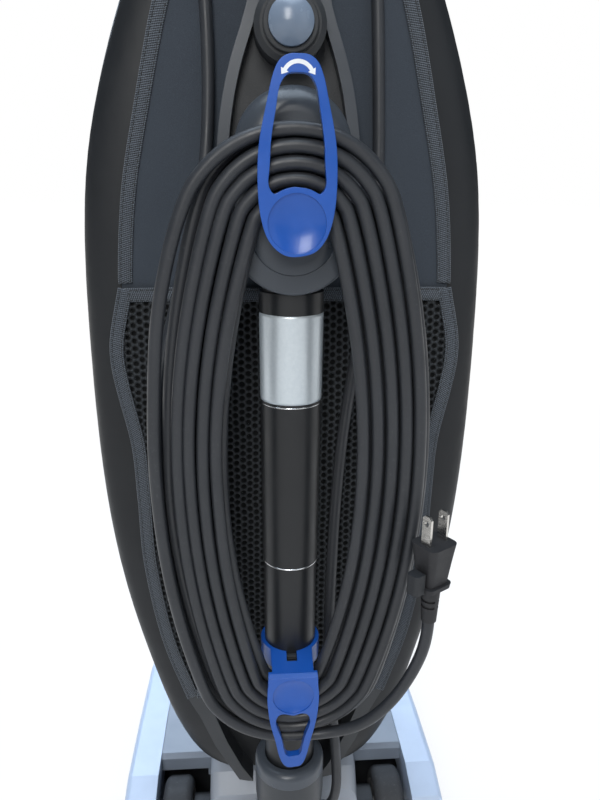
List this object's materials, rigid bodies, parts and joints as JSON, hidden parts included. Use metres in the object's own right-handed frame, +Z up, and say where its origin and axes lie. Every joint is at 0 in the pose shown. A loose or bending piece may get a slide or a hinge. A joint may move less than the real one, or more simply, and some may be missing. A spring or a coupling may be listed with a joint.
{
  "type": "upright vacuum cleaner",
  "caption": "Upright bagged vacuum cleaner with a board-shaped bag housing, tube spine, loop handle, wound cord on two hooks and a motorised floor head.",
  "frame": {"origin": "on the floor, under the middle of the object's bounding box, measured without its cord", "axes": "+Z up, -Y the way the floor head faces, +Y the back with the cord hooks, +X to the left of a viewer behind it"},
  "size_m": [0.268, 0.3789, 1.1301],
  "materials": {
    "graphite_plastic": "satin moulded plastic",
    "silver_blue_plastic": "semi-gloss, silver blue",
    "blue_grey_plastic": "semi-gloss, blue grey",
    "light_grey_plastic": "satin, light grey",
    "mid_grey_plastic": "satin, mid grey",
    "silver_plastic": "satin silver",
    "black_plastic": "fine grained matte",
    "satin_black_plastic": "satin black",
    "blue_plastic": "semi-gloss blue",
    "black_rubber": "matte",
    "wheel_rubber": "matte, dark grey",
    "cord_rubber": "smooth satin black",
    "bristle_nylon": "tufts",
    "panel_fabric": "padded dark cloth",
    "binding_tape": "woven tape",
    "mesh_fabric": "open mesh",
    "bag_paper": "matte filter paper",
    "steel": "machined",
    "aluminium": "satin tube",
    "brass": "nickel-plated blades"
  },
  "bodies": {
    "floor_head": {"head_chassis": "graphite_plastic", "nozzle_plate": "graphite_plastic", "side_arm_left": "silver_blue_plastic", "side_arm_right": "silver_blue_plastic", "head_deck": "blue_grey_plastic", "motor_cover": "light_grey_plastic", "bumper": "black_rubber", "motor": "steel", "brush_bearings": "steel", "drive_belt": "black_rubber", "wheel_axles": "steel", "suction_duct": "graphite_plastic"},
    "left_wheel": {"wheel_hub_left": "graphite_plastic", "wheel_tyre_left": "wheel_rubber"},
    "right_wheel": {"wheel_hub_right": "graphite_plastic", "wheel_tyre_right": "wheel_rubber"},
    "left_roller": {"front_roller_left": "graphite_plastic"},
    "right_roller": {"front_roller_right": "graphite_plastic"},
    "motor_shaft": {"motor_rotor": "steel"},
    "brush": {"brushroll": "black_plastic", "brush_bristles": "bristle_nylon"},
    "yoke": {"neck_yoke": "mid_grey_plastic", "tilt_pins": "steel"},
    "cable_hook": {"upper_hook": "blue_plastic"},
    "button": {"release_button": "mid_grey_plastic"},
    "switch": {"power_switch": "blue_plastic"},
    "cover": {"front_cover": "blue_grey_plastic"},
    "latch": {"cover_latch": "mid_grey_plastic"},
    "upright": {"neck": "mid_grey_plastic", "neck_collar": "silver_plastic", "lower_tube": "mid_grey_plastic", "upper_sleeve": "mid_grey_plastic", "lower_hook": "blue_plastic", "hook_catch": "mid_grey_plastic", "elbow": "mid_grey_plastic", "elbow_lip": "mid_grey_plastic", "spine_plate": "black_plastic", "spine_rails": "mid_grey_plastic", "button_spring": "steel", "handle_tube": "aluminium", "handle_grip": "mid_grey_plastic", "grip_pad": "black_rubber", "rim_frame": "satin_black_plastic", "back_panel": "panel_fabric", "panel_binding": "binding_tape", "mesh_pocket": "mesh_fabric", "trim_strips": "mid_grey_plastic", "dust_bag": "bag_paper", "bag_dock": "mid_grey_plastic", "cord_relief": "cord_rubber", "cord_lead": "cord_rubber", "cord_winding": "cord_rubber", "cord_tail": "cord_rubber", "cord_plug": "cord_rubber", "plug_blades": "brass", "cord_clip": "black_plastic", "harness_lead": "cord_rubber", "harness_clips": "black_plastic", "housing_screws": "steel", "hinge_pin": "steel"}
  },
  "joints": [
    {"name": "left_wheel_spin", "type": "hinge", "parent": "floor_head", "child": "left_wheel", "pos_m": [0.089, 0.058, 0.033], "axis": [1, 0, 0], "continuous": true},
    {"name": "right_wheel_spin", "type": "hinge", "parent": "floor_head", "child": "right_wheel", "pos_m": [-0.089, 0.058, 0.033], "axis": [1, 0, 0], "continuous": true},
    {"name": "left_roller_spin", "type": "hinge", "parent": "floor_head", "child": "left_roller", "pos_m": [0.095, -0.101, 0.008], "axis": [1, 0, 0], "continuous": true},
    {"name": "right_roller_spin", "type": "hinge", "parent": "floor_head", "child": "right_roller", "pos_m": [-0.095, -0.101, 0.008], "axis": [1, 0, 0], "continuous": true},
    {"name": "motor_spin", "type": "hinge", "parent": "floor_head", "child": "motor_shaft", "pos_m": [0, -0.045, 0.056], "axis": [1, 0, 0], "continuous": true},
    {"name": "brush_spin", "type": "hinge", "parent": "floor_head", "child": "brush", "pos_m": [0, -0.148, 0.027], "axis": [1, 0, 0], "continuous": true},
    {"name": "recline", "type": "hinge", "parent": "floor_head", "child": "yoke", "pos_m": [0, 0.091, 0.04], "axis": [-1, 0, 0], "range_deg": [0, 60]},
    {"name": "steer", "type": "hinge", "parent": "yoke", "child": "upright", "pos_m": [0, 0.091, 0.066], "axis": [0, 0, 1], "range_deg": [-30, 30]},
    {"name": "hook_turn", "type": "hinge", "parent": "upright", "child": "cable_hook", "pos_m": [0, 0.1715, 0.532], "axis": [0, 1, 0], "range_deg": [0, 180]},
    {"name": "button_press", "type": "slide", "parent": "upright", "child": "button", "axis": [0, -1, 0], "range_m": [0, 0.004], "stiffness_N_per_m": 400, "deforming": ["button_spring"]},
    {"name": "switch_rock", "type": "hinge", "parent": "upright", "child": "switch", "pos_m": [0, 0.093, 1.034], "axis": [-1, 0, 0], "range_deg": [0, 8]},
    {"name": "cover_swing", "type": "hinge", "parent": "upright", "child": "cover", "pos_m": [0, 0.0455, 0.7766], "axis": [-1, 0, 0], "range_deg": [0, 100]},
    {"name": "latch_swing", "type": "hinge", "parent": "upright", "child": "latch", "pos_m": [0, 0.057, 0.0978], "axis": [1, 0, 0], "range_deg": [0, 10]}
  ],
  "couplings": [
    {"joint": "brush_spin", "follows": "motor_spin", "ratio": 0.6667}
  ]
}
